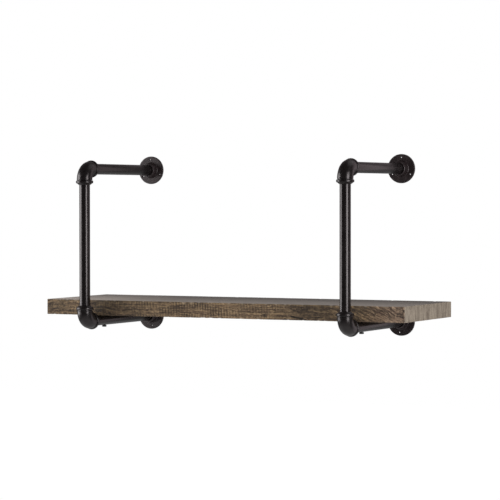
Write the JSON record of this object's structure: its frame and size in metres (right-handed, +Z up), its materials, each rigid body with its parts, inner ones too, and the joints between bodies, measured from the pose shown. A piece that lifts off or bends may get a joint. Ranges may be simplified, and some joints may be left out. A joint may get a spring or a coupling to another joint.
{
  "type": "wall shelf with pipe brackets",
  "caption": "Wall shelf of one thick weathered timber board resting on U-shaped brackets of dark pipe, elbows and round wall flanges.",
  "frame": {"origin": "on the wall, midway between the brackets, level with the axes of the lower pipes", "axes": "+X along the board to the right, +Y into the wall, +Z up"},
  "size_m": [0.914, 0.343, 0.4229],
  "materials": {
    "board_timber": "weathered, saw-marked, matt lacquer",
    "pipe_paint": "smooth satin dark bronze paint",
    "fitting_paint": "satin dark bronze paint over a cast skin",
    "bolt_steel": "black oxide",
    "insert_brass": "plain turned brass"
  },
  "bodies": {
    "root": {"shelf_board": "board_timber", "left_upper_flange": "fitting_paint", "left_upper_elbow": "fitting_paint", "left_lower_elbow": "fitting_paint", "left_lower_flange": "fitting_paint", "left_upper_pipe": "pipe_paint", "left_upright_pipe": "pipe_paint", "left_lower_pipe": "pipe_paint", "left_shelf_bolt": "bolt_steel", "left_board_insert": "insert_brass", "right_upper_flange": "fitting_paint", "right_upper_elbow": "fitting_paint", "right_lower_elbow": "fitting_paint", "right_lower_flange": "fitting_paint", "right_upper_pipe": "pipe_paint", "right_upright_pipe": "pipe_paint", "right_lower_pipe": "pipe_paint", "right_shelf_bolt": "bolt_steel", "right_board_insert": "insert_brass"}
  },
  "joints": []
}
